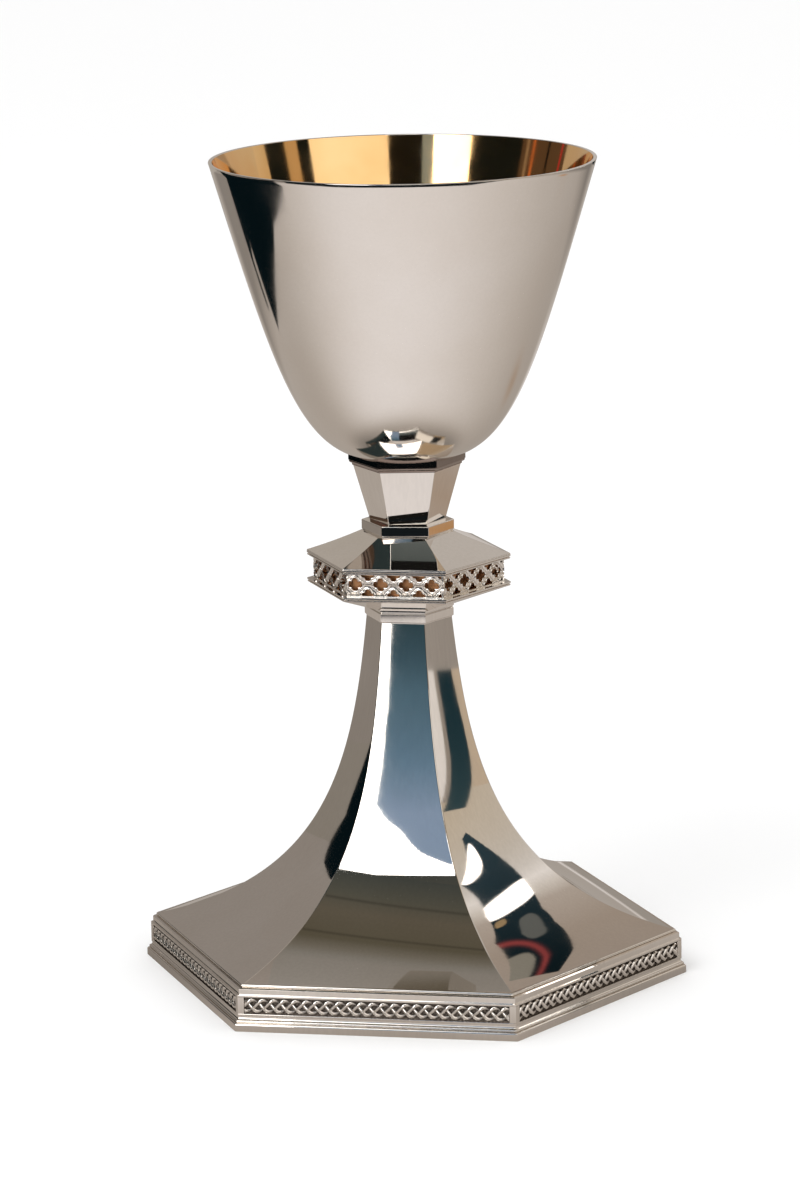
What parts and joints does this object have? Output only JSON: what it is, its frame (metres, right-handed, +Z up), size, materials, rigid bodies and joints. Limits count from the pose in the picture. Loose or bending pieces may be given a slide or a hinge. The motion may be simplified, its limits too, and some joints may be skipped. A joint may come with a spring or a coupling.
{
  "type": "communion chalice",
  "caption": "Tall hexagonal-footed communion chalice with a flared round bowl, tapered stem, pierced six-sided knop and concave foot on a plaited band.",
  "frame": {"origin": "middle of the face the foot stands on", "axes": "+Z up along the axis of the bowl; the corners of the hexagonal foot lie over +X and -X and every 60 degrees from there, so one flat side faces -Y"},
  "size_m": [0.1418, 0.1228, 0.21],
  "materials": {
    "silver": "mirror-polished silver with fine handling scratches",
    "oxidised_silver": "silver relief, bright on top and darkened in its ground",
    "gilt": "polished gilding",
    "brass": "turned brass",
    "steel": "threaded steel rod"
  },
  "bodies": {
    "root": {"cup": "silver", "cup_seat": "silver", "cup_boss": "brass", "seat_moulding": "silver", "stem_shell": "silver", "tie_rod": "steel", "knop_collar": "silver", "knop_roof": "silver", "knop_cornice": "silver", "gallery_panel_1": "silver", "gallery_panel_2": "silver", "gallery_panel_3": "silver", "gallery_panel_4": "silver", "gallery_panel_5": "silver", "gallery_panel_6": "silver", "gallery_lining": "gilt", "gallery_top_plate": "gilt", "gallery_bottom_plate": "gilt", "knop_base_moulding": "silver", "knop_underside": "silver", "knop_neck": "silver", "core_tube": "brass", "foot_collar": "silver", "foot_cap": "silver", "threaded_bush": "brass", "foot_face_1": "silver", "foot_face_2": "silver", "foot_face_3": "silver", "foot_face_4": "silver", "foot_face_5": "silver", "foot_face_6": "silver", "base_cornice": "silver", "base_wall": "silver", "frieze_panel_1": "oxidised_silver", "frieze_panel_2": "oxidised_silver", "frieze_panel_3": "oxidised_silver", "frieze_panel_4": "oxidised_silver", "frieze_panel_5": "oxidised_silver", "frieze_panel_6": "oxidised_silver", "corner_stile_1": "silver", "corner_stile_2": "silver", "corner_stile_3": "silver", "corner_stile_4": "silver", "corner_stile_5": "silver", "corner_stile_6": "silver", "base_lower_bead": "silver", "base_flange": "silver"}
  },
  "joints": []
}
